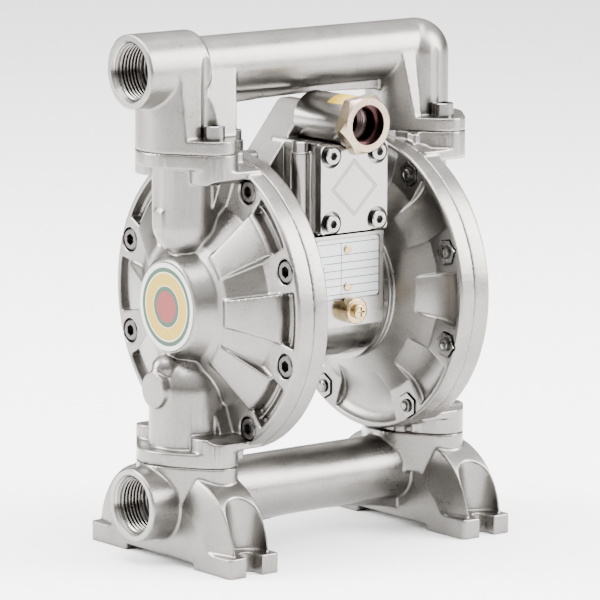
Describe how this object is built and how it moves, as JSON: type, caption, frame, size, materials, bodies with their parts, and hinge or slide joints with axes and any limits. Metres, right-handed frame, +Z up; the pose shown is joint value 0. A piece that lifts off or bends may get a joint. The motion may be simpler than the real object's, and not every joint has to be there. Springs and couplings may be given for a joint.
{
  "type": "air operated diaphragm pump",
  "caption": "Air operated diaphragm pump: two round ribbed fluid covers on a centre block, ported tube manifolds above and below, slotted feet and a front air valve.",
  "frame": {"origin": "On the ground, at the centre of the four foot slots, midway between the two fluid covers.", "axes": "+X along the diaphragm shaft away from the pipe ports, +Y to the exhaust side (the air inlet and the name plate face -Y), +Z up."},
  "size_m": [0.2379, 0.176, 0.3077],
  "materials": {
    "cast_steel": "satin",
    "polished_steel": "polished",
    "machined_steel": "machined",
    "yellow_zinc": "satin",
    "badge_face": "gloss",
    "plate_aluminium": "satin",
    "brass": "satin",
    "bronze": "machined",
    "diaphragm_rubber": "matt",
    "seal_rubber": "matt",
    "ptfe": "matt",
    "silencer_plastic": "matt",
    "spool_aluminium": "machined"
  },
  "bodies": {
    "housing": {"air_chamber_left": "cast_steel", "air_chamber_right": "cast_steel", "air_inlet_fitting": "yellow_zinc", "badge_left": "badge_face", "badge_right": "badge_face", "centre_block": "polished_steel", "chamber_gasket_left": "seal_rubber", "chamber_gasket_right": "seal_rubber", "chamber_screws_left": "machined_steel", "chamber_screws_right": "machined_steel", "cover_bolts_left": "machined_steel", "cover_bolts_right": "machined_steel", "cover_nuts_left": "machined_steel", "cover_nuts_right": "machined_steel", "earth_screw": "brass", "earth_terminal": "brass", "exhaust_silencer": "silencer_plastic", "fluid_cover_left": "cast_steel", "fluid_cover_right": "cast_steel", "inlet_manifold": "cast_steel", "inlet_screws": "machined_steel", "inlet_seat_left": "machined_steel", "inlet_seat_right": "machined_steel", "name_plate": "plate_aluminium", "name_plate_rivets": "brass", "outlet_manifold": "cast_steel", "outlet_screws": "machined_steel", "outlet_seat_left": "machined_steel", "outlet_seat_right": "machined_steel", "seat_rings": "seal_rubber", "shaft_bushes": "bronze", "shaft_seals": "seal_rubber", "valve_body": "cast_steel", "valve_body_gasket": "seal_rubber", "valve_body_screws": "machined_steel", "valve_cover": "cast_steel", "valve_cover_gasket": "seal_rubber", "valve_cover_screws": "machined_steel", "valve_sleeve": "bronze"},
    "pump_shaft": {"shaft": "machined_steel", "inner_plate_left": "machined_steel", "inner_plate_right": "machined_steel", "outer_plate_left": "machined_steel", "outer_plate_right": "machined_steel", "diaphragm_left": "diaphragm_rubber", "diaphragm_right": "diaphragm_rubber"},
    "pilot": {"pilot_rod": "machined_steel"},
    "spool": {"valve_spool": "spool_aluminium", "spool_rings": "seal_rubber"},
    "outlet_ball_left": {"outlet_ball_left": "ptfe"},
    "outlet_ball_right": {"outlet_ball_right": "ptfe"},
    "inlet_ball_left": {"inlet_ball_left": "ptfe"},
    "inlet_ball_right": {"inlet_ball_right": "ptfe"}
  },
  "joints": [
    {"name": "shaft_slide", "type": "slide", "parent": "housing", "child": "pump_shaft", "axis": [1, 0, 0], "range_m": [-0.008, 0.008], "deforming": ["diaphragm_left", "diaphragm_right"]},
    {"name": "pilot_slide", "type": "slide", "parent": "housing", "child": "pilot", "axis": [1, 0, 0], "range_m": [-0.0025, 0.0025]},
    {"name": "spool_slide", "type": "slide", "parent": "housing", "child": "spool", "axis": [0, 1, 0], "range_m": [-0.006, 0.006]},
    {"name": "outlet_ball_left_lift", "type": "slide", "parent": "housing", "child": "outlet_ball_left", "axis": [0, 0, 1], "range_m": [0, 0.008]},
    {"name": "outlet_ball_right_lift", "type": "slide", "parent": "housing", "child": "outlet_ball_right", "axis": [0, 0, 1], "range_m": [0, 0.008]},
    {"name": "inlet_ball_left_lift", "type": "slide", "parent": "housing", "child": "inlet_ball_left", "axis": [0, 0, 1], "range_m": [0, 0.008]},
    {"name": "inlet_ball_right_lift", "type": "slide", "parent": "housing", "child": "inlet_ball_right", "axis": [0, 0, 1], "range_m": [0, 0.008]}
  ]
}
